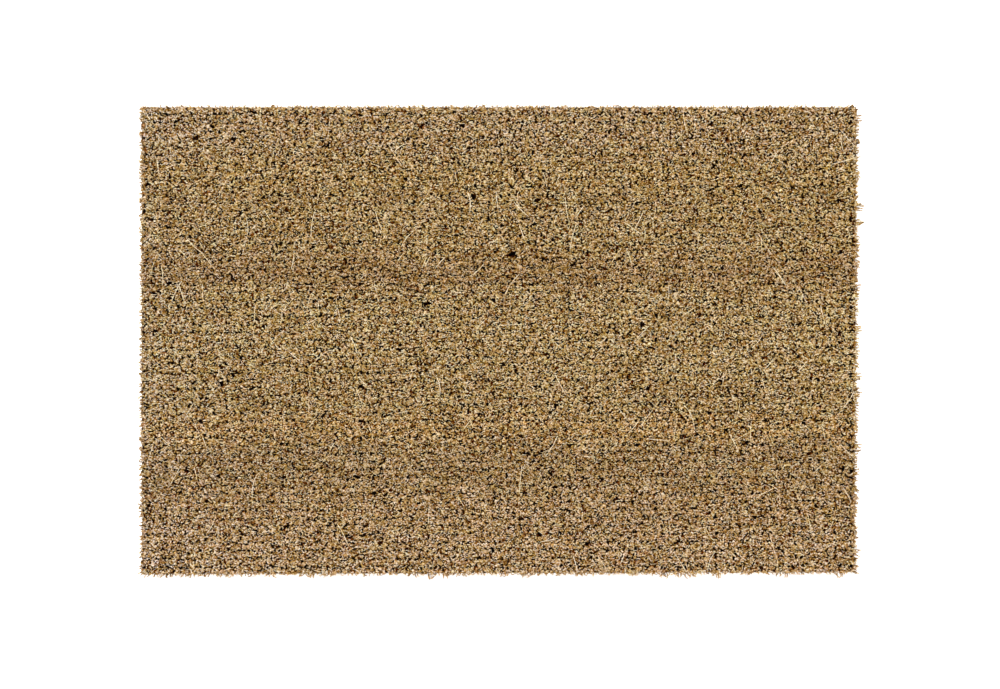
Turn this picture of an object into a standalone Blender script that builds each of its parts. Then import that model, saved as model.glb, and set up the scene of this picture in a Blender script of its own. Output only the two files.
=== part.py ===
"""Coir door mat: rows of coconut-fibre yarn tufts, their feet set in a PVC backing sheet.

The mat lies on the ground plane with its underside at z = 0 and the middle of its footprint
at the origin. Its length runs along X and its rows of tufts follow one another along Y.
"""

import math

import bpy

# Overall sizes, in metres.
MAT_LENGTH = 0.600
MAT_WIDTH = 0.392
BACKING_THICKNESS = 0.004
PILE_HEIGHT = 0.012

# Rows of tufts. Their pitch comes from the mat's width.
ROW_COUNT = 58
BRUSH_GAP = 0.0004
CROWN_RISE = 0.0010
CROWN_STEPS = 6
FLARE_HEIGHT = 0.0025

# The foot of each row, a dovetail that the PVC grips.
FOOT_DEPTH = 0.0024
FOOT_NECK_WIDTH = 0.0030
FOOT_BASE_WIDTH = 0.0038

# Gap between pieces that touch on the real mat.
CLEARANCE = 0.0003

ROW_PITCH = MAT_WIDTH / ROW_COUNT
BRUSH_WIDTH = ROW_PITCH - BRUSH_GAP
MAT_HEIGHT = BACKING_THICKNESS + PILE_HEIGHT


def clear_scene():
    """Remove whatever the file held before."""
    for leftover in list(bpy.data.objects):
        bpy.data.objects.remove(leftover, do_unlink=True)


def make_material(name, colour, roughness):
    """A Principled BSDF with a linear colour and no metal in it."""
    material = bpy.data.materials.new(name)
    material.use_nodes = True
    shader = material.node_tree.nodes["Principled BSDF"]
    shader.inputs["Base Color"].default_value = (*colour, 1.0)
    shader.inputs["Roughness"].default_value = roughness
    shader.inputs["Metallic"].default_value = 0.0
    return material


def add_prism(name, section, collection, material):
    """Sweep a closed (y, z) section along the whole length of the mat."""
    curve = bpy.data.curves.new(name, "CURVE")
    curve.dimensions = "2D"
    curve.fill_mode = "BOTH"
    curve.extrude = MAT_LENGTH / 2
    spline = curve.splines.new("POLY")
    spline.points.add(len(section) - 1)
    for point, (y, z) in zip(spline.points, section):
        point.co = (y, z, 0.0, 1.0)
    spline.use_cyclic_u = True
    curve.materials.append(material)
    prism = bpy.data.objects.new(name, curve)
    prism.rotation_euler = (math.pi / 2, 0.0, math.pi / 2)
    collection.objects.link(prism)
    return prism


def row_centre(row):
    """Y of a row's middle, with row 0 at the front edge."""
    return (row - (ROW_COUNT - 1) / 2) * ROW_PITCH


def groove_corners(centre):
    """The dovetail slot in the backing's top face, from its left lip to its right lip."""
    neck = FOOT_NECK_WIDTH / 2 + CLEARANCE
    base = FOOT_BASE_WIDTH / 2 + CLEARANCE
    sole = BACKING_THICKNESS - FOOT_DEPTH
    left = [
        (centre - neck, BACKING_THICKNESS),
        (centre - base, sole),
        (centre - base, sole - CLEARANCE),
    ]
    right = [(2 * centre - y, z) for y, z in reversed(left)]
    return left + right


def backing_section():
    """The sheet's outline: a flat underside, square cut edges and a slot for every row."""
    top = []
    for row in range(ROW_COUNT):
        top.extend(groove_corners(row_centre(row)))
    edge = MAT_WIDTH / 2
    left = [(-edge, 0.0), (-edge, BACKING_THICKNESS)]
    right = [(edge, BACKING_THICKNESS), (edge, 0.0)]
    return left + top + right


def tuft_section(centre):
    """One row of tufts: a dovetail foot, a collar, a flare and a crowned brush."""
    neck = FOOT_NECK_WIDTH / 2
    base = FOOT_BASE_WIDTH / 2
    brush = BRUSH_WIDTH / 2
    sole = BACKING_THICKNESS - FOOT_DEPTH
    collar = BACKING_THICKNESS + CLEARANCE
    crown = []
    for step in range(CROWN_STEPS + 1):
        across = 1.0 - 2.0 * step / CROWN_STEPS
        crown.append((centre + across * brush, MAT_HEIGHT - CROWN_RISE * across**2))
    right = [
        (centre + base, sole),
        (centre + neck, BACKING_THICKNESS),
        (centre + neck, collar),
        (centre + brush, collar + FLARE_HEIGHT),
    ]
    left = [(2 * centre - y, z) for y, z in reversed(right)]
    return right + crown + left


def build_backing(collection):
    """The flexible PVC sheet that holds every tuft by its foot."""
    pvc = make_material("pvc_backing", (0.42, 0.27, 0.15), 0.55)
    add_prism("backing_sheet", backing_section(), collection, pvc)


def build_tuft_rows(collection):
    """The pile, one solid for each row, from the front edge to the back edge."""
    coir = make_material("coir_pile", (0.29, 0.19, 0.09), 0.85)
    for row in range(ROW_COUNT):
        name = f"tuft_row_{row + 1:02d}"
        add_prism(name, tuft_section(row_centre(row)), collection, coir)


def main():
    clear_scene()
    collection = bpy.data.collections.new("coir_door_mat")
    bpy.context.scene.collection.children.link(collection)
    build_backing(collection)
    build_tuft_rows(collection)


main()
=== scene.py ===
"""Natural coir door mat on a white light table, seen from straight above.

The pile is cut two-ply coconut yarn, standing in rows in a flexible PVC sheet. Each row is
one piece. A tuft is two plies with locks of fibre that spring from them, and every ply and
every lock is a copy of a bar that is modelled once and laid along a path of its own.

Lengths are in metres, and pairs in brackets run from least to most unless they say otherwise.
"""

import math

import bpy
import numpy as np
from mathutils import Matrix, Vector


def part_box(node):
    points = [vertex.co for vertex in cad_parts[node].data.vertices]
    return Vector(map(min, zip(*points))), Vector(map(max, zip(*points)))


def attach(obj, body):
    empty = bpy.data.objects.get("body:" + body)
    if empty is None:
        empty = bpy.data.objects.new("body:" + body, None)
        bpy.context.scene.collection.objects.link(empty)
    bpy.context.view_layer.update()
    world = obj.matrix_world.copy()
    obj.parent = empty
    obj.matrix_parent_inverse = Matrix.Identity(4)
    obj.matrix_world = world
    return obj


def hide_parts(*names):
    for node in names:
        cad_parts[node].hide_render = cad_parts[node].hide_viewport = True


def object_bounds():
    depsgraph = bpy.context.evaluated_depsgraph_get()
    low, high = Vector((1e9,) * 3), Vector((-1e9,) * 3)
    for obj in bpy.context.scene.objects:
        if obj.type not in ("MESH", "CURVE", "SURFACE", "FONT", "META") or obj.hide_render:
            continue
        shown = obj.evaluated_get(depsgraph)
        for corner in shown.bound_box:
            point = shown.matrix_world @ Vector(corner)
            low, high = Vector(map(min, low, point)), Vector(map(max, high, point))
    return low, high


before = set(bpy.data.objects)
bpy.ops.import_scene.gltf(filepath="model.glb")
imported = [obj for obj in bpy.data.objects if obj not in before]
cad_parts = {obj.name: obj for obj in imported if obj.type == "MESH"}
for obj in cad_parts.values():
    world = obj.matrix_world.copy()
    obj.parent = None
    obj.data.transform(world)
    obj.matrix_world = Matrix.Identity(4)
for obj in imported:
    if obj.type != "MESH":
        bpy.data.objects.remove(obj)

CAD_LOW, CAD_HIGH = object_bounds()
SHEET_LOW, SHEET_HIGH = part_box("backing_sheet")
ROW_NODES = sorted(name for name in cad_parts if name.startswith("tuft_row_"))
MAT_SIZE = np.array(CAD_HIGH[:2]) - CAD_LOW[:2]
TOP = CAD_HIGH[2]
MM = 0.001
ROW_PITCH = (CAD_HIGH[1] - CAD_LOW[1]) / len(ROW_NODES)

SEED = 20
STRAY_SEED = SEED + 500
LIE_SEED = SEED + 900

# The yarn is two-ply, so two plies stand side by side in each tuft. Drops are depths below
# the cut surface, and the taper is the share of a ply's girth at its foot, waist and crown.
TUFT_SPACING = 5.6 * MM
PLY_COUNT = 2
PLY_OFFSET = 1.4 * MM
PLY_GIRTHS = (4.2 * MM, 5.4 * MM)
PLY_WANDER = 0.3 * MM
PLY_LEAN = 0.8 * MM
PLY_DROP = (1.3 * MM, 2.5 * MM)
PLY_INSET = 2.0 * MM
PLY_TAPER = (0.6, 0.9, 0.8)
PLY_DENTS = (0.8, 1.2)
FOOT_Z = 2.0 * MM
WAIST_Z = 8.0 * MM

# Locks of fibre spring from the plies and lie over each other at the cut surface. Each has a
# root, a bend and a tip, and stands for a few real fibres, which are about 0.3 mm thick and
# too many to draw. The grid is how many spring from a tuft along the row and across it.
LOCK_GRID = (4, 5)
LOCK_COUNT = LOCK_GRID[0] * LOCK_GRID[1]
LOCK_WIDTHS = (0.8 * MM, 1.5 * MM)
LOCK_TAPER = (1.0, 1.0, 0.8)
ROOT_INSET = 0.6 * MM
ROOT_DEPTH = 1.0 * MM
ROOT_DROP = (3.6 * MM, 5.4 * MM)
BEND_DROP = (0.6 * MM, 2.1 * MM)
TIP_DROP = 0.55 * MM
ROOT_RUN = (0.3 * MM, 1.2 * MM)
TIP_RUN = (0.7 * MM, 2.5 * MM)
BEND_LEAN = 0.4
SWERVE = 0.7
ROW_PULL = 0.6
ROW_FILL = 0.97

# One lock in four is a wisp: thin, long, pale and right at the top. Its width, run and drops
# are shares of a lock's.
WISP_SHARE = 0.25
WISP_WIDTH = 0.45
WISP_RUN = 1.6
WISP_BEND_DROP = 0.44
WISP_TIP_DROP = 0.2
WISP_TONE = 0.25

# The painted shade in the fibre's colour counts no daylight deeper into the pile than this.
PAINTED_SHADE_DEPTH = 4.5 * MM

# Along the cut edges the locks root deeper, lie out past the edge and splay, and their sides are
# in the light, so the painted shade leaves them undarkened.
EDGE_REACH = 3.2 * MM
EDGE_ROOT = 6.5 * MM
EDGE_CLEAR = 0.50 * MM
BEND_CLEAR = 0.8
EDGE_FUZZ = 0.3 * MM
EDGE_SPLAY = 0.9 * MM
SPLAY_POWER = 61

# The front right corner was cut this much too short, in length and in width.
CORNER_CUT = 1.6 * MM

# The outermost tufts hang out over the cut edges, most of all at the front and right. The
# first two pairs are usual overhangs in x and in y, and no tuft hangs out more than the limit
# times as far. The shares are how much of it a root, a bend and a tip take, and the last
# value is how much of it a ply takes.
HANG_LEFT_FRONT = (0.25 * MM, 1.2 * MM)
HANG_RIGHT_BACK = (1.6 * MM, 0.25 * MM)
HANG_LIMIT = 3.0
HANG_SHARES = (0.3, 0.7, 1.0)
PLY_HANG = 0.5

# Whole patches of pile lean together, from feet and from rolling.
DRIFT = 0.3 * MM
DRIFT_WAVELENGTHS = (12 * MM, 45 * MM)

# Where too little yarn went in, the pile has dark gaps, longer along the rows.
GAP_WAVELENGTHS = (4 * MM, 9 * MM)
GAP_LEVEL = 1.7
GAP_DEPTH = 3.6 * MM
GAP_STRETCH = 1.6

# Behind the middle, at this x and y, a tuft is all but missing: the pile sinks there.
LOST_TUFT = (11.0 * MM, 71.5 * MM)
LOST_REACH = 2.6 * MM
LOST_DEPTH = 4.2 * MM

# Patches and gaps are sums of this many waves.
WAVE_COUNT = 14

# Tones run from 0, dark brown, to 1, pale straw.
TUFT_TONE = 0.45
TUFT_SPREAD = 0.03
TONE_LIFT = 0.05
TONE_SPREAD = 0.09
FIBRE_CONTRAST = 1.2

# Tufts near the left end have faded: the gain in red, green and blue there, and its reach.
FADE_REACH = 50 * MM
FADE_GAIN = (0.03, 0.06, 0.20)

# Runs of yarn change over within about this many rows.
RUN_BLUR = 0.7

# Loose fibres on the surface. Tones and headings are a middle and a spread, and a stray's
# ends sag lower than its middle.
STRAY_COUNT = 180
STRAY_TONES = (1.05, 0.2)
STRAY_LENGTHS = (8 * MM, 24 * MM)
STRAY_WIDTHS = (0.40 * MM, 0.55 * MM)
STRAY_RISE = (0.0 * MM, 0.8 * MM)
STRAY_SAG = (0.6 * MM, 2.4 * MM)
STRAY_HEADINGS = (math.pi / 2, 0.6)
STRAY_CURL = 0.15
STRAY_INSET = 8 * MM
STRAY_OVERHANG = 0.5 * MM

# Each copy's cell on a piece's map, in shares of the cell: a margin all round, and how big a
# bar's end is laid out.
CELL_MARGIN = 0.06
END_SIZE = 0.1

# The PVC sheet's edges, eased by the knife.
KNIFE_EASE = 0.4 * MM
EASE_SEGMENTS = 2
SMOOTH_DEGREES = 40

# The light table, just under the mat.
FLOOR_SIZE = 12.0
FLOOR_GAP = 0.2 * MM

# One soft source, a little to the back and left of overhead, in a white room.
SUN_ENERGY = 3.2
SUN_SPREAD = 24.0
SUN_DIRECTION = (-0.20, 0.50, 1.0)
SUN_COLOUR = (1.0, 0.99, 0.97)
ROOM_COLOUR = (1.0, 1.0, 1.0, 1.0)
ROOM_STRENGTH = 0.68

# Camera, straight overhead with a long lens: the width it sees at the cut surface, its lens
# and sensor in millimetres, and its place in x and y.
FIELD_WIDTH = 0.8353
CAMERA_LENS = 100.0
SENSOR_WIDTH = 36.0
CAMERA_OFFSET = (0.9 * MM, -3.2 * MM)
CAMERA_REACH = 20.0


def linear(hex_colour):
    """An sRGB hex colour as the linear RGBA that shaders take."""
    channels = [int(hex_colour[i:i + 2], 16) / 255 for i in (1, 3, 5)]
    return (*[c / 12.92 if c <= 0.04045 else ((c + 0.055) / 1.055) ** 2.4 for c in channels], 1.0)


def add_node(tree, kind, settings=None, links=None, stops=None):
    """Add a node, set its properties and sockets, link its inputs and place its ramp's stops."""
    node = tree.nodes.new(kind)
    for name, value in (settings or {}).items():
        if isinstance(name, str) and hasattr(node, name):
            setattr(node, name, value)
        else:
            node.inputs[name].default_value = value
    for socket, source in (links or {}).items():
        tree.links.new(source, node.inputs[socket])
    if stops:
        elements = node.color_ramp.elements
        while len(elements) < len(stops):
            elements.new(1.0)
        for element, (position, colour) in zip(elements, stops):
            element.position = position
            element.color = linear(colour)
    return node


def new_material(name):
    """An empty node material with its output, ready for a shader."""
    material = bpy.data.materials.new(name)
    material.use_nodes = True
    tree = material.node_tree
    tree.nodes.clear()
    return material, tree, tree.nodes.new("ShaderNodeOutputMaterial")


def coir_material():
    """Coconut fibre, spun and sheared: dry, matt, straw to brown, with painted shade that darkens it to
    near black deeper in the pile, between the locks.
    """
    material, tree, output = new_material("coconut_fibre_spun_and_sheared")
    place = add_node(tree, "ShaderNodeTexCoord")
    tone = add_node(tree, "ShaderNodeAttribute", {"attribute_name": "tone"})
    painted_daylight = add_node(tree, "ShaderNodeAttribute", {"attribute_name": "painted_daylight"})
    yarn = add_node(tree, "ShaderNodeAttribute", {"attribute_name": "yarn"})
    # Fibres are about 0.3 mm thick and too fine to show, so their colours change every 1 mm.
    fibres = add_node(
        tree, "ShaderNodeTexVoronoi", {"Scale": 1 / (1.0 * MM)}, {"Vector": place.outputs["Object"]}
    )
    spread = add_node(tree, "ShaderNodeSeparateColor", links={"Color": fibres.outputs["Color"]})
    varied = add_node(
        tree, "ShaderNodeMath", {"operation": "MULTIPLY_ADD", 1: FIBRE_CONTRAST},
        {0: spread.outputs["Red"], 2: tone.outputs["Fac"]},
    )
    level = add_node(
        tree, "ShaderNodeMath", {"operation": "SUBTRACT", 1: FIBRE_CONTRAST / 2},
        {0: varied.outputs["Value"]},
    )
    fibre = add_node(
        tree, "ShaderNodeValToRGB", links={0: level.outputs["Value"]},
        stops=[
            (0.0, "#6A3E08"), (0.25, "#AE853C"), (0.5, "#D2AA64"), (0.75, "#E9CC99"),
            (1.0, "#FFF1D4"),
        ],
    )
    # Patches a few millimetres across, greener or pinker than their yarn.
    patches = add_node(
        tree, "ShaderNodeTexNoise", {"Scale": 1 / (7 * MM), "Detail": 2.0},
        {"Vector": place.outputs["Object"]},
    )
    cast = add_node(
        tree, "ShaderNodeValToRGB", links={0: patches.outputs["Fac"]},
        stops=[(0.30, "#F9FAE6"), (0.50, "#FFFFFF"), (0.70, "#FFF8FA")],
    )
    # Painted shade: the colour darkens with depth below the cut surface, to near black, by the daylight
    # attribute.
    painted_depth_shade = add_node(
        tree, "ShaderNodeValToRGB", links={0: painted_daylight.outputs["Fac"]},
        stops=[(0.30, "#100100"), (0.50, "#703A06"), (0.58, "#CBA880"), (0.66, "#FFFFFF")],
    )
    shade = fibre.outputs["Color"]
    for layer in (cast, yarn, painted_depth_shade):
        mixed = add_node(
            tree, "ShaderNodeMix",
            {"data_type": "RGBA", "blend_type": "MULTIPLY", "Factor": 1.0},
            {6: shade, 7: layer.outputs["Color"]},
        )
        shade = mixed.outputs[2]
    # A fibre's own grain is finer still, so it is drawn as coarse as it needs to show.
    grain = add_node(
        tree, "ShaderNodeTexNoise", {"Scale": 1 / (0.5 * MM), "Detail": 3.0},
        {"Vector": place.outputs["Object"]},
    )
    bump = add_node(
        tree, "ShaderNodeBump", {"Strength": 0.5, "Distance": 0.2 * MM},
        {"Height": grain.outputs["Fac"]},
    )
    dryness = add_node(
        tree, "ShaderNodeMapRange", {"To Min": 0.50, "To Max": 0.78},
        {"Value": grain.outputs["Fac"]},
    )
    shader = add_node(
        tree, "ShaderNodeBsdfPrincipled", {"Specular IOR Level": 0.03},
        {"Base Color": shade, "Roughness": dryness.outputs["Result"], "Normal": bump.outputs["Normal"]},
    )
    tree.links.new(shader.outputs["BSDF"], output.inputs["Surface"])
    return material


def pvc_material():
    """Flexible PVC, cast in a sheet: dull tan, faintly mottled, with a fine pebble."""
    material, tree, output = new_material("flexible_pvc_cast_sheet")
    place = add_node(tree, "ShaderNodeTexCoord")
    mottle = add_node(
        tree, "ShaderNodeTexNoise", {"Scale": 1 / (18 * MM), "Detail": 5.0},
        {"Vector": place.outputs["Object"]},
    )
    colour = add_node(
        tree, "ShaderNodeValToRGB", links={0: mottle.outputs["Fac"]},
        stops=[(0.3, "#A07C54"), (0.7, "#B89268")],
    )
    # Painted shade: the top of the sheet, down between the tufts, is darkened to near-black brown.
    height = add_node(tree, "ShaderNodeSeparateXYZ", links={"Vector": place.outputs["Object"]})
    painted_shade_mask = add_node(
        tree, "ShaderNodeMapRange",
        {"From Min": SHEET_HIGH[2] - 0.6 * MM, "From Max": SHEET_HIGH[2] - 0.1 * MM},
        {"Value": height.outputs["Z"]},
    )
    painted_shade_top = add_node(
        tree, "ShaderNodeMix", {"data_type": "RGBA", 7: linear("#1C1008")},
        {0: painted_shade_mask.outputs["Result"], 6: colour.outputs["Color"]},
    )
    pebble = add_node(
        tree, "ShaderNodeTexVoronoi", {"Scale": 1 / (1.6 * MM)},
        {"Vector": place.outputs["Object"]},
    )
    bump = add_node(
        tree, "ShaderNodeBump", {"Strength": 0.4, "Distance": 0.2 * MM},
        {"Height": pebble.outputs["Distance"]},
    )
    gloss = add_node(
        tree, "ShaderNodeMapRange", {"To Min": 0.45, "To Max": 0.62},
        {"Value": mottle.outputs["Fac"]},
    )
    shader = add_node(
        tree, "ShaderNodeBsdfPrincipled", {"Specular IOR Level": 0.2},
        {
            "Base Color": painted_shade_top.outputs[2],
            "Roughness": gloss.outputs["Result"],
            "Normal": bump.outputs["Normal"],
        },
    )
    tree.links.new(shader.outputs["BSDF"], output.inputs["Surface"])
    return material


def acrylic_material():
    """Matt white acrylic: even and glareless, and lit from below so that no shadow shows."""
    material, tree, output = new_material("matt_acrylic_light_table")
    place = add_node(tree, "ShaderNodeTexCoord")
    tooth = add_node(
        tree, "ShaderNodeTexNoise", {"Scale": 1 / (2 * MM)}, {"Vector": place.outputs["Object"]}
    )
    tint = add_node(
        tree, "ShaderNodeValToRGB", links={0: tooth.outputs["Fac"]},
        stops=[(0.0, "#F6F6F6"), (1.0, "#FAFAFA")],
    )
    shader = add_node(
        tree, "ShaderNodeBsdfPrincipled",
        {"Roughness": 0.95, "Emission Color": linear("#FFFFFF"), "Emission Strength": 0.7},
        {"Base Color": tint.outputs["Color"]},
    )
    tree.links.new(shader.outputs["BSDF"], output.inputs["Surface"])
    return material


def deselect_all():
    """Leave nothing selected, so that an operator acts on the new piece alone."""
    bpy.ops.object.select_all(action="DESELECT")


def model_bar(sides, rings):
    """A bar one unit thick, with its rings of corners one unit apart and blunt ends.

    Returns each corner's level, from 0 at the root, its place across the bar, the faces and
    the top level, and leaves no object behind.
    """
    deselect_all()
    bpy.ops.mesh.primitive_cylinder_add(
        vertices=sides, radius=0.5, depth=rings - 1, end_fill_type="NGON",
        location=(0.0, 0.0, (rings - 1) / 2),
    )
    bar = bpy.context.object
    bpy.ops.object.transform_apply(location=True)
    mesh = bar.data
    bpy.ops.object.mode_set(mode="EDIT")
    bpy.ops.mesh.select_mode(type="EDGE")
    bpy.ops.mesh.select_all(action="DESELECT")
    bpy.ops.object.mode_set(mode="OBJECT")
    for edge in mesh.edges:
        first, second = (mesh.vertices[i].co for i in edge.vertices)
        edge.select = abs(first.z - second.z) > 0.5
    bpy.ops.object.mode_set(mode="EDIT")
    bpy.ops.mesh.subdivide(number_cuts=rings - 2)
    bpy.ops.object.mode_set(mode="OBJECT")
    places = np.array([vertex.co[:] for vertex in mesh.vertices])
    faces = [list(polygon.vertices) for polygon in mesh.polygons]
    bpy.data.objects.remove(bar, do_unlink=True)
    return {
        "level": np.rint(places[:, 2]).astype(int),
        "across": places[:, :2],
        "faces": faces,
        "top": rings - 1,
    }


def unit(vectors):
    """The same vectors, each of length one."""
    return vectors / np.linalg.norm(vectors, axis=-1, keepdims=True)


def lay_copies(bar, paths, girths, upright, dents):
    """Copies of the bar, each along its own path. paths is copies x levels x 3."""
    along = np.empty_like(paths)
    along[:, 1:-1] = paths[:, 2:] - paths[:, :-2]
    along[:, 0] = paths[:, 1] - paths[:, 0]
    along[:, -1] = paths[:, -1] - paths[:, -2]
    along = unit(along)
    side = unit(np.cross(along, upright[:, None, :]))
    front = np.cross(along, side)
    level, across = bar["level"], bar["across"]
    offset = side[:, level] * across[None, :, :1] + front[:, level] * across[None, :, 1:]
    return paths[:, level] + offset * (girths[:, level] * dents)[..., None]


def bar_map(bar, count):
    """Each copy's own cell on a square map: across the bar by its turn, along it by level."""
    corners = []
    for face in bar["faces"]:
        turns = [math.atan2(*bar["across"][v]) / math.tau % 1.0 for v in face]
        levels = [bar["level"][v] / bar["top"] for v in face]
        if len(set(levels)) == 1:
            corners.extend((0.5 + END_SIZE * bar["across"][v][0], levels[0]) for v in face)
            continue
        wraps = max(turns) - min(turns) > 0.5
        turns = [turn + (1.0 if wraps and turn < 0.5 else 0.0) for turn in turns]
        corners.extend(zip(turns, levels))
    corners = np.array(corners)
    corners[:, 0] -= corners[:, 0].min()
    corners[:, 0] /= corners[:, 0].max()
    side = math.ceil(math.sqrt(count))
    index = np.arange(count)
    cell = np.stack([index % side, index // side], 1)[:, None, :]
    return (cell + CELL_MARGIN + (1.0 - 2.0 * CELL_MARGIN) * corners[None]) / side


def cut_to_shape(places):
    """Places on the mat as it was really cut: the front right corner is a little short."""
    share = (places - CAD_LOW) / (np.array(CAD_HIGH) - CAD_LOW)
    pull = share[..., 0] * (1.0 - share[..., 1])
    return places + pull[..., None] * np.array([-CORNER_CUT, CORNER_CUT, 0.0])


def edge_share(places):
    """How near a place is to the mat's edges: 1 at an edge, 0 from EDGE_REACH inwards."""
    inward = np.minimum(places[..., :2] - CAD_LOW[:2], CAD_HIGH[:2] - places[..., :2]).min(-1)
    return np.clip(1.0 - inward / EDGE_REACH, 0.0, 1.0)


def painted_daylight(places):
    """Painted shade for the fibre's colour: how much light a place in the pile is taken to get, 1 at
    the cut surface and at the mat's edges.
    """
    depth = (TOP - places[..., 2]) / PAINTED_SHADE_DEPTH
    return np.maximum(np.clip(1.0 - depth, 0.0, 1.0), edge_share(places))


def fibre_mesh(name, batches, material):
    """One mesh of many bars. Each batch is a bar, its copies' places, tones and casts."""
    starts, loops, places, tones, casts, layouts = [], [], [], [], [], []
    vertex_count = loop_count = 0
    for slot, (bar, at, tone, cast) in enumerate(batches):
        copies, per_bar = at.shape[:2]
        corners = np.array([v for face in bar["faces"] for v in face])
        sizes = np.array([len(face) for face in bar["faces"]])
        loops.append((vertex_count + corners + np.arange(copies)[:, None] * per_bar).ravel())
        first = np.concatenate([[0], np.cumsum(np.tile(sizes, copies))[:-1]])
        starts.append(loop_count + first)
        places.append(at.reshape(-1, 3))
        tones.append(np.repeat(tone, per_bar))
        casts.append(np.repeat(cast, per_bar, 0))
        layouts.append((bar_map(bar, copies).reshape(-1, 2) + (slot, 0)) / (len(batches), 1))
        vertex_count += copies * per_bar
        loop_count += copies * len(corners)
    places = np.concatenate(places)
    mesh = bpy.data.meshes.new(name)
    mesh.vertices.add(vertex_count)
    mesh.vertices.foreach_set("co", cut_to_shape(places).astype(np.float32).ravel())
    mesh.loops.add(loop_count)
    mesh.loops.foreach_set("vertex_index", np.concatenate(loops).astype(np.int32))
    starts = np.concatenate(starts)
    mesh.polygons.add(len(starts))
    mesh.polygons.foreach_set("loop_start", starts.astype(np.int32))
    mesh.update(calc_edges=True)
    mesh.shade_smooth()
    # Each corner carries its tone and its share of daylight for the painted shade.
    values = {"tone": np.concatenate(tones), "painted_daylight": painted_daylight(places)}
    for key, value in values.items():
        attribute = mesh.attributes.new(key, "FLOAT", "POINT")
        attribute.data.foreach_set("value", value.astype(np.float32))
    casts = np.concatenate(casts)
    yarn = mesh.attributes.new("yarn", "FLOAT_COLOR", "POINT")
    yarn.data.foreach_set("color", np.c_[casts, np.ones(vertex_count)].astype(np.float32).ravel())
    layout = mesh.uv_layers.new(name="OFBake")
    layout.uv.foreach_set("vector", np.concatenate(layouts).astype(np.float32).ravel())
    mesh.materials.append(material)
    piece = bpy.data.objects.new(name, mesh)
    bpy.context.scene.collection.objects.link(piece)
    return piece


def swell(rng, wavelengths, stretch=1.0):
    """A smooth random height over the mat, about 0 and mostly within 2, as a sum of waves."""
    lengths = rng.uniform(*wavelengths, WAVE_COUNT)
    headings = rng.uniform(0, math.tau, WAVE_COUNT)
    crests = np.stack([np.cos(headings) / stretch, np.sin(headings)], 1)
    waves = crests * (math.tau / lengths[:, None])
    phases = rng.uniform(0, math.tau, WAVE_COUNT)

    def height(places):
        return np.sin(places @ waves.T + phases).sum(-1) / math.sqrt(WAVE_COUNT / 2)

    return height


class Lie:
    """How the pile lies at any place on the mat: which way it leans and where it has gaps."""

    def __init__(self, rng):
        self.lean_x = swell(rng, DRIFT_WAVELENGTHS)
        self.lean_y = swell(rng, DRIFT_WAVELENGTHS)
        self.thin = swell(rng, GAP_WAVELENGTHS, GAP_STRETCH)

    def lean(self, places):
        return DRIFT * np.stack([self.lean_x(places), self.lean_y(places)], -1)

    def gap(self, places):
        lost = np.exp(-(((places - LOST_TUFT) / LOST_REACH) ** 2).sum(-1))
        return GAP_DEPTH * np.clip(self.thin(places) - GAP_LEVEL, 0.0, 1.0) + LOST_DEPTH * lost


# Yarn from different bobbins: the first row of each run, counted from the front, and its cast.
YARN_RUNS = [
    (0, "#EEEDF5"),
    (5, "#EAE8EC"),
    (10, "#E1DFDF"),
    (16, "#F0ECE4"),
    (19, "#EAEBE9"),
    (25, "#EEF0EE"),
    (35, "#E0DBD6"),
    (39, "#EAEAE5"),
    (46, "#E2E0D8"),
    (47, "#F0F0E8"),
    (50, "#EBEBE9"),
    (52, "#EFF0F6"),
]


def yarn_casts(rows, tufts):
    """The linear colour casts of tufts in these rows, which may lie between two.

    Near the left end they have faded, and are a little greyer.
    """
    firsts = np.array([first for first, _ in YARN_RUNS])
    colours = np.array([linear(colour)[:3] for _, colour in YARN_RUNS])
    casts = colours[np.searchsorted(firsts, np.maximum(rows, 0), side="right") - 1]
    faded = np.exp((CAD_LOW[0] - tufts[:, :1]) / FADE_REACH)
    return casts * (1.0 + faded * np.array(FADE_GAIN))


def circle(rng, shape):
    """Vectors of length one in the plane of the mat, in random directions."""
    turn = rng.uniform(0, math.tau, shape)
    return np.stack([np.cos(turn), np.sin(turn)], -1)


def kept_inside(places, margin):
    """Places in the plane of the mat, held this far inside its cut edges."""
    return np.clip(places, np.array(CAD_LOW[:2]) + margin, np.array(CAD_HIGH[:2]) - margin)


def overhang(rng, tufts):
    """How far each tuft hangs out past the nearest cut edges. Only the outermost do."""
    reach = np.minimum(rng.exponential(1.0, (len(tufts), 1)), HANG_LIMIT)
    outer = np.abs(tufts) > MAT_SIZE / 2 - (TUFT_SPACING, ROW_PITCH)
    return reach * np.where(tufts > 0, HANG_RIGHT_BACK, HANG_LEFT_FRONT) * outer * np.sign(tufts)


def lay_plies(rng, tufts, hang, lie):
    """Paths and girths of the plies, one behind the other from the left end."""
    turn = circle(rng, len(tufts))[:, None] * np.array([1.0, -1.0])[None, :, None]
    waist = (tufts[:, None] + PLY_OFFSET * turn).reshape(-1, 2)
    waist += rng.normal(0, PLY_WANDER, waist.shape)
    foot = (waist + np.repeat(tufts, PLY_COUNT, 0)) / 2
    crown = waist + rng.normal(0, PLY_LEAN, waist.shape) + lie.lean(waist)
    girth = rng.uniform(*PLY_GIRTHS, len(waist))
    paths = np.empty((len(waist), 3, 3))
    paths[..., :2] = kept_inside(np.stack([foot, waist, crown], 1), PLY_INSET)
    outward = PLY_HANG * np.repeat(hang, PLY_COUNT, 0)
    paths[..., :2] += outward[:, None] * np.array(HANG_SHARES)[:, None]
    paths[:, 0, 2] = FOOT_Z
    paths[:, 1, 2] = WAIST_Z
    paths[:, 2, 2] = TOP - rng.uniform(*PLY_DROP, len(waist)) - lie.gap(crown)
    return paths, girth[:, None] * np.array(PLY_TAPER)


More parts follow.
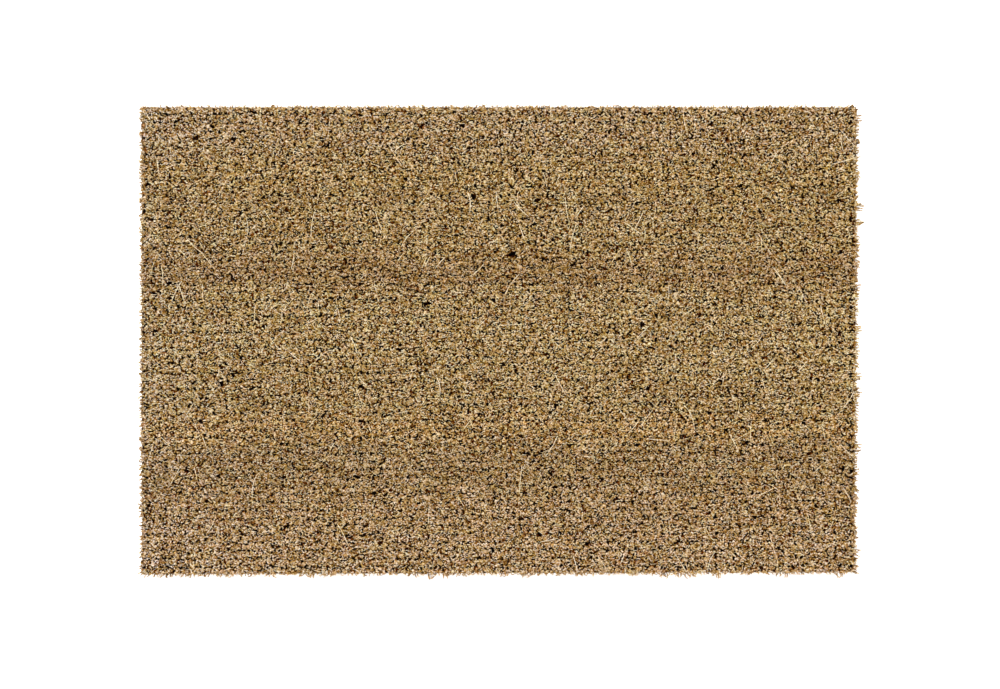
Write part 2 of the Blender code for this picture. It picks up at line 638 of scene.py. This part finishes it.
def lay_locks(rng, tufts, cell, wisps, hang, lie):
    """Paths of the locks, sprung evenly from all round each tuft and bent over in any direction."""
    steps = [(np.arange(count) + 0.5) / count - 0.5 for count in LOCK_GRID]
    grid = np.stack(np.meshgrid(*steps), -1).reshape(-1, 2)
    shape = wisps.shape
    grid = grid + rng.uniform(-0.5, 0.5, (*shape, 2)) / LOCK_GRID
    root = kept_inside(tufts[:, None] + grid * cell, ROOT_INSET)
    heading = rng.uniform(0, math.tau, shape)
    swerve = heading + rng.normal(0, SWERVE, shape)
    first = np.stack([np.cos(heading), ROW_PULL * np.sin(heading)], -1)
    second = np.stack([np.cos(swerve), ROW_PULL * np.sin(swerve)], -1)
    run = rng.uniform(*TIP_RUN, shape) * np.where(wisps, WISP_RUN, 1.0)
    lean = lie.lean(root) + EDGE_SPLAY * (2 * root / MAT_SIZE) ** SPLAY_POWER
    bend = root + rng.uniform(*ROOT_RUN, (*shape, 1)) * first + BEND_LEAN * lean
    tip = bend + run[..., None] * second + lean
    fuzz = rng.exponential(EDGE_FUZZ, (*shape, 1))
    paths = np.empty((*shape, 3, 3))
    bend = kept_inside(bend, -BEND_CLEAR * EDGE_CLEAR)
    tip = kept_inside(tip, -(EDGE_CLEAR + fuzz))
    paths[..., :2] = np.stack([root, bend, tip], -2)
    outward = np.clip(0.5 + grid * np.sign(hang)[:, None], 0.0, 1.0)
    paths[..., :2] += (hang[:, None] * outward)[:, :, None] * np.array(HANG_SHARES)[:, None]
    bend_drop = np.where(wisps, WISP_BEND_DROP, 1.0)
    tip_drop = np.where(wisps, WISP_TIP_DROP, 1.0)
    sunk = lie.gap(root)
    paths[..., 0, 2] = TOP - rng.uniform(*ROOT_DROP, shape) - EDGE_ROOT * (edge_share(root) > 0)
    paths[..., 1, 2] = TOP - rng.uniform(*BEND_DROP, shape) * bend_drop - sunk
    paths[..., 2, 2] = TOP - rng.exponential(TIP_DROP, shape) * tip_drop - sunk
    paths[..., 0, 2] = np.minimum(paths[..., 0, 2], paths[..., 1, 2] - ROOT_DEPTH)
    return paths.reshape(-1, 3, 3)


def build_row(row, node, ply, lock, lie, material):
    """One row of tufts, from the left end to the right."""
    rng = np.random.default_rng(SEED + row)
    low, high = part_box(node)
    count = round((high[0] - low[0]) / TUFT_SPACING)
    spacing = (high[0] - low[0]) / count
    tufts = np.empty((count, 2))
    tufts[:, 0] = low[0] + (np.arange(count) + 0.5) * spacing
    tufts[:, 1] = (low[1] + high[1]) / 2
    wisps = rng.random((count, LOCK_COUNT)) < WISP_SHARE
    hang = overhang(rng, tufts)
    locks = lay_locks(rng, tufts, (spacing, ROW_FILL * ROW_PITCH), wisps, hang, lie)
    tufts += rng.normal(0, PLY_WANDER, tufts.shape)
    plies, girths = lay_plies(rng, tufts, hang, lie)
    tones = rng.normal(TUFT_TONE, TUFT_SPREAD, count)
    casts = yarn_casts(row + rng.normal(0, RUN_BLUR, count), tufts)
    dents = rng.uniform(*PLY_DENTS, (len(plies), len(ply["level"])))
    flat = np.tile([1.0, 0.0, 0.0], (len(plies), 1))
    thinned = np.where(wisps.reshape(-1, 1), WISP_WIDTH, 1.0)
    widths = rng.uniform(*LOCK_WIDTHS, (len(locks), 1)) * thinned * np.array(LOCK_TAPER)
    spin = np.c_[circle(rng, len(locks)), np.zeros(len(locks))]
    lock_tones = np.repeat(tones, LOCK_COUNT) + rng.normal(TONE_LIFT, TONE_SPREAD, len(locks))
    lock_tones += WISP_TONE * wisps.ravel()
    batches = [
        (
            ply, lay_copies(ply, plies, girths, flat, dents), np.repeat(tones, PLY_COUNT),
            np.repeat(casts, PLY_COUNT, 0),
        ),
        (
            lock, lay_copies(lock, locks, widths, spin, 1.0), np.clip(lock_tones, 0.0, 1.0),
            np.repeat(casts, LOCK_COUNT, 0),
        ),
    ]
    piece = fibre_mesh(f"pile_row_{row + 1:02d}", batches, material)
    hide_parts(node)
    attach(piece, "root")
    return piece


def build_strays(bar, material):
    """Loose pale fibres, combed out of the yarn and lying on the cut surface."""
    rng = np.random.default_rng(STRAY_SEED)
    copies = STRAY_COUNT
    levels = bar["top"] + 1
    length = rng.uniform(*STRAY_LENGTHS, copies)
    heading = rng.normal(*STRAY_HEADINGS, copies)
    curl = rng.normal(0, STRAY_CURL, copies)
    middle = kept_inside(rng.uniform(CAD_LOW[:2], CAD_HIGH[:2], (copies, 2)), STRAY_INSET)
    share = np.linspace(-0.5, 0.5, levels)
    turn = heading[:, None] + curl[:, None] * share * 2
    steps = (length / (levels - 1))[:, None, None] * np.stack([np.cos(turn), np.sin(turn)], -1)
    places = np.cumsum(steps, 1)
    places += (middle - places.mean(1))[:, None]
    paths = np.empty((copies, levels, 3))
    paths[..., :2] = kept_inside(places, -STRAY_OVERHANG)
    rise = rng.uniform(*STRAY_RISE, (copies, 1))
    sag = rng.uniform(*STRAY_SAG, (copies, 1))
    paths[..., 2] = TOP + rise - sag * (2 * share[None]) ** 2
    girths = np.repeat(rng.uniform(*STRAY_WIDTHS, (copies, 1)), levels, 1)
    upright = np.tile([0.0, 0.0, 1.0], (copies, 1))
    tones = rng.normal(*STRAY_TONES, copies)
    casts = np.ones((copies, 3))
    strays = lay_copies(bar, paths, girths, upright, 1.0)
    piece = fibre_mesh("stray_fibres", [(bar, strays, tones, casts)], material)
    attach(piece, "root")
    return piece


def build_backing(material):
    """The PVC sheet, cut to the mat's shape, its edges eased by the knife."""
    size = Vector(SHEET_HIGH) - Vector(SHEET_LOW)
    centre = (Vector(SHEET_HIGH) + Vector(SHEET_LOW)) / 2
    deselect_all()
    bpy.ops.mesh.primitive_cube_add(size=1.0, location=centre, scale=size)
    sheet = bpy.context.object
    bpy.ops.object.transform_apply(location=True, scale=True)
    for vertex in sheet.data.vertices:
        vertex.co = cut_to_shape(np.array(vertex.co))
    sheet.name = "pvc_backing"
    sheet.data.name = "pvc_backing"
    bpy.ops.object.mode_set(mode="EDIT")
    bpy.ops.mesh.select_all(action="SELECT")
    bpy.ops.mesh.bevel(offset=KNIFE_EASE, segments=EASE_SEGMENTS, affect="EDGES")
    bpy.ops.object.mode_set(mode="OBJECT")
    bpy.ops.object.shade_smooth_by_angle(angle=math.radians(SMOOTH_DEGREES))
    sheet.data.materials.append(material)
    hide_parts("backing_sheet")
    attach(sheet, "root")
    return sheet


def build_floor(material):
    """The light table, a wide white floor just under the mat."""
    deselect_all()
    bpy.ops.mesh.primitive_plane_add(size=FLOOR_SIZE, location=(0.0, 0.0, CAD_LOW[2] - FLOOR_GAP))
    floor = bpy.context.object
    floor.name = "studio_floor"
    floor.data.materials.append(material)


def light_studio():
    """A big soft source above the mat, and white walls all round."""
    light = bpy.data.lights.new("overhead_softbox", "SUN")
    light.energy = SUN_ENERGY
    light.angle = math.radians(SUN_SPREAD)
    light.color = SUN_COLOUR
    lamp = bpy.data.objects.new("overhead_softbox", light)
    lamp.rotation_euler = Vector(SUN_DIRECTION).to_track_quat("Z", "Y").to_euler()
    bpy.context.scene.collection.objects.link(lamp)
    world = bpy.data.worlds.new("pale_room")
    world.use_nodes = True
    background = world.node_tree.nodes["Background"]
    background.inputs["Color"].default_value = ROOM_COLOUR
    background.inputs["Strength"].default_value = ROOM_STRENGTH
    bpy.context.scene.world = world
    bpy.context.scene.view_settings.view_transform = "Standard"


def set_camera():
    """A long lens straight overhead, far enough off to see FIELD_WIDTH at the cut surface."""
    data = bpy.data.cameras.new("overhead_camera")
    data.lens = CAMERA_LENS
    data.sensor_width = SENSOR_WIDTH
    data.clip_end = CAMERA_REACH
    camera = bpy.data.objects.new("overhead_camera", data)
    distance = FIELD_WIDTH * CAMERA_LENS / SENSOR_WIDTH
    camera.location = (*CAMERA_OFFSET, TOP + distance)
    bpy.context.scene.collection.objects.link(camera)
    bpy.context.scene.camera = camera


def main():
    set_camera()
    coir = coir_material()
    ply = model_bar(sides=4, rings=3)
    lock = model_bar(sides=3, rings=3)
    lie = Lie(np.random.default_rng(LIE_SEED))
    rows = [build_row(row, node, ply, lock, lie, coir) for row, node in enumerate(ROW_NODES)]
    strays = build_strays(model_bar(sides=3, rings=6), coir)
    backing = build_backing(pvc_material())
    build_floor(acrylic_material())
    light_studio()


main()
